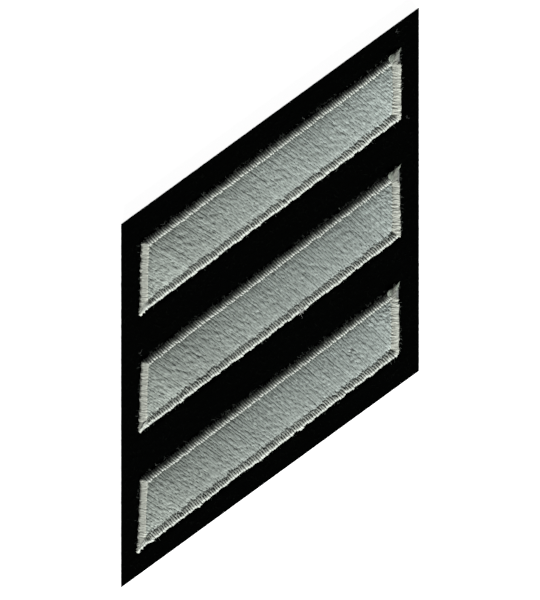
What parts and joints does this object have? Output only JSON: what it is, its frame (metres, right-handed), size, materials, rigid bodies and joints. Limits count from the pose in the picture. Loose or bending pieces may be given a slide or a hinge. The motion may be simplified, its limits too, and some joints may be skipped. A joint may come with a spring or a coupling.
{
  "type": "service stripe",
  "caption": "Slanted black felt patch with raised silver-grey satin-stitched bars, each framed by a satin border, sewn to a sleeve by its flat back.",
  "frame": {"origin": "middle of the flat underside, at the centre of the patch's bounding rectangle", "axes": "+Z out of the stitched face, +Y up the patch along its upright edges, +X across it to the right as seen from the front"},
  "size_m": [0.0476, 0.093, 0.0022],
  "materials": {
    "felt": "black wool felt, matt, with a short nap and a few pale lint fibres",
    "fill_thread": "silver-grey rayon satin stitch, glossy along the threads",
    "border_thread": "slightly creamier silver rayon satin stitch, glossy"
  },
  "bodies": {
    "root": {"backing_cloth": "felt", "stripe_1_fill": "fill_thread", "stripe_1_border": "border_thread", "stripe_2_fill": "fill_thread", "stripe_2_border": "border_thread", "stripe_3_fill": "fill_thread", "stripe_3_border": "border_thread"}
  },
  "joints": []
}
